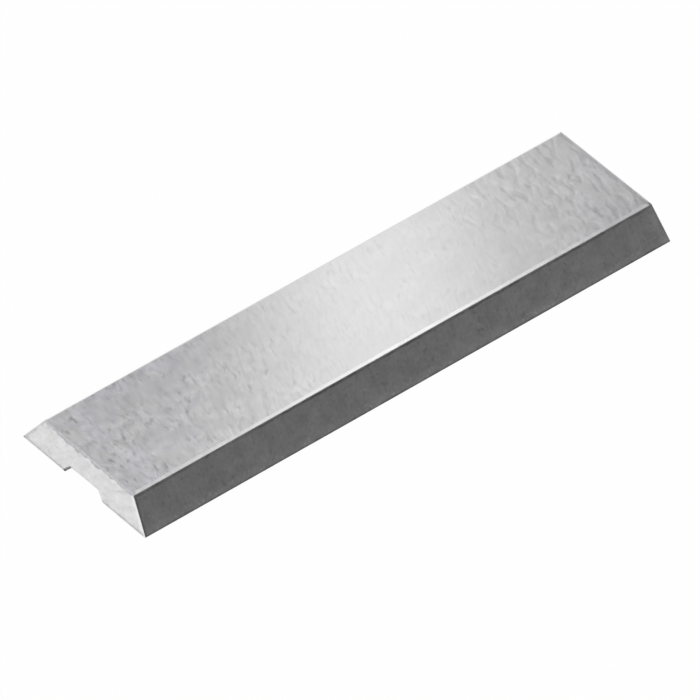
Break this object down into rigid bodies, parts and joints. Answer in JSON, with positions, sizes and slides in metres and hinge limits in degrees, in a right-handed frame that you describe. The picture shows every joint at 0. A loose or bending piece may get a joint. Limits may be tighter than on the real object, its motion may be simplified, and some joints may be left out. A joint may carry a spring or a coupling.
{
  "type": "carbide insert knife",
  "caption": "Reversible carbide insert knife: a flat bar bevelled along both long sides to sharp cutting edges, with a shallow locating groove along its wide back face.",
  "frame": {"origin": "centre of the wide back face, which lies on the surface", "axes": "+X along the cutting edges, +Y across the knife from edge to edge, +Z through the thickness, out of the narrower front face"},
  "size_m": [0.02, 0.0054, 0.0011],
  "materials": {
    "carbide": "ground tungsten carbide, satin faces and finer-ground bevels"
  },
  "bodies": {
    "root": {"insert_knife": "carbide"}
  },
  "joints": []
}
